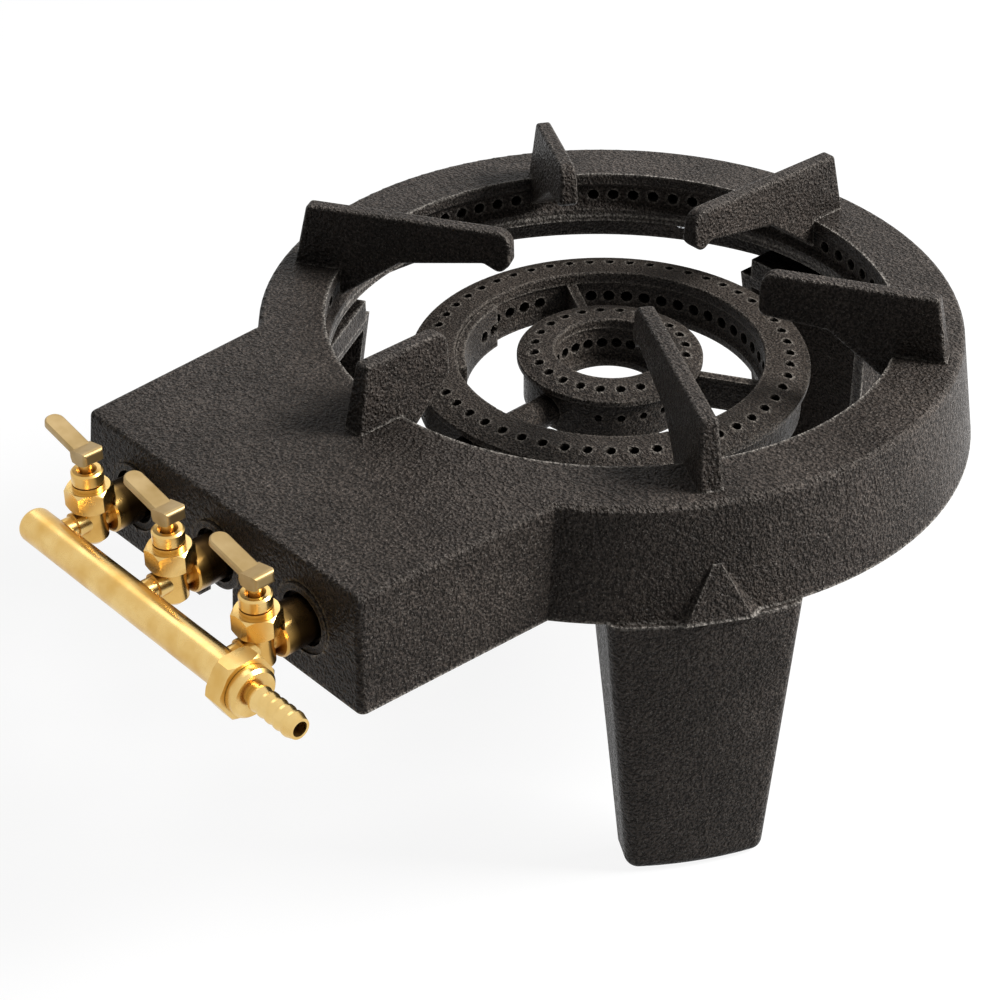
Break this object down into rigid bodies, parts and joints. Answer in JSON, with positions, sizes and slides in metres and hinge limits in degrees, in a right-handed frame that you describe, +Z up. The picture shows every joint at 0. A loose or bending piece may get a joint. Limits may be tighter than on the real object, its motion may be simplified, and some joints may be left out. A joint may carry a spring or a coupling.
{
  "type": "gas boiling ring",
  "caption": "Round cast iron gas boiling ring on legs, with nested burner rings, pot supports, brass lever taps on a manifold and a ridged hose tail.",
  "frame": {"origin": "on the floor under the middle of the whole object's box, taps and feet included", "axes": "+Z up from the feet, -Y towards the taps, +X towards the hose tail's end of the manifold"},
  "size_m": [0.42, 0.5658, 0.272],
  "materials": {
    "cast_iron": "matte",
    "brass": "satin",
    "lever_brass": "satin",
    "zinc_steel": "satin",
    "packing": "matte",
    "fibre": "matte"
  },
  "bodies": {
    "burner": {"outer_ring_casting": "cast_iron", "outer_ring_floor": "cast_iron", "floor_screw_1": "zinc_steel", "floor_screw_2": "zinc_steel", "floor_screw_3": "zinc_steel", "floor_screw_4": "zinc_steel", "floor_screw_5": "zinc_steel", "floor_screw_6": "zinc_steel", "leg_1": "cast_iron", "leg_bolt_1a": "zinc_steel", "leg_bolt_1b": "zinc_steel", "leg_2": "cast_iron", "leg_bolt_2a": "zinc_steel", "leg_bolt_2b": "zinc_steel", "leg_3": "cast_iron", "leg_bolt_3a": "zinc_steel", "leg_bolt_3b": "zinc_steel", "pot_support_1": "cast_iron", "pot_support_2": "cast_iron", "pot_support_3": "cast_iron", "pot_support_4": "cast_iron", "pot_support_5": "cast_iron", "pot_support_6": "cast_iron", "middle_ring_body": "cast_iron", "middle_ring_cap": "cast_iron", "core_ring_body": "cast_iron", "core_ring_cap": "cast_iron", "mixing_tube_1": "cast_iron", "tap_stub_1": "brass", "tap_body_1": "brass", "tap_jet_1": "brass", "tap_seal_1": "packing", "packing_nut_1": "brass", "gland_1": "brass", "mixing_tube_2": "cast_iron", "tap_stub_2": "brass", "tap_body_2": "brass", "tap_jet_2": "brass", "tap_seal_2": "packing", "packing_nut_2": "brass", "gland_2": "brass", "mixing_tube_3": "cast_iron", "tap_stub_3": "brass", "tap_body_3": "brass", "tap_jet_3": "brass", "tap_seal_3": "packing", "packing_nut_3": "brass", "gland_3": "brass", "manifold_tube": "brass", "manifold_end_plug": "brass", "union_nut": "brass", "union_washer": "fibre", "hose_tail": "brass"},
    "tap_1": {"tap_stem_1": "brass", "tap_lever_1": "lever_brass"},
    "tap_2": {"tap_stem_2": "brass", "tap_lever_2": "lever_brass"},
    "tap_3": {"tap_stem_3": "brass", "tap_lever_3": "lever_brass"}
  },
  "joints": [
    {"name": "tap_1_turn", "type": "hinge", "parent": "burner", "child": "tap_1", "pos_m": [-0.07, -0.24059, 0.201], "axis": [0, 0, 1], "range_deg": [0, 90]},
    {"name": "tap_2_turn", "type": "hinge", "parent": "burner", "child": "tap_2", "pos_m": [0, -0.24059, 0.201], "axis": [0, 0, 1], "range_deg": [0, 90]},
    {"name": "tap_3_turn", "type": "hinge", "parent": "burner", "child": "tap_3", "pos_m": [0.07, -0.24059, 0.201], "axis": [0, 0, 1], "range_deg": [0, 90]}
  ]
}
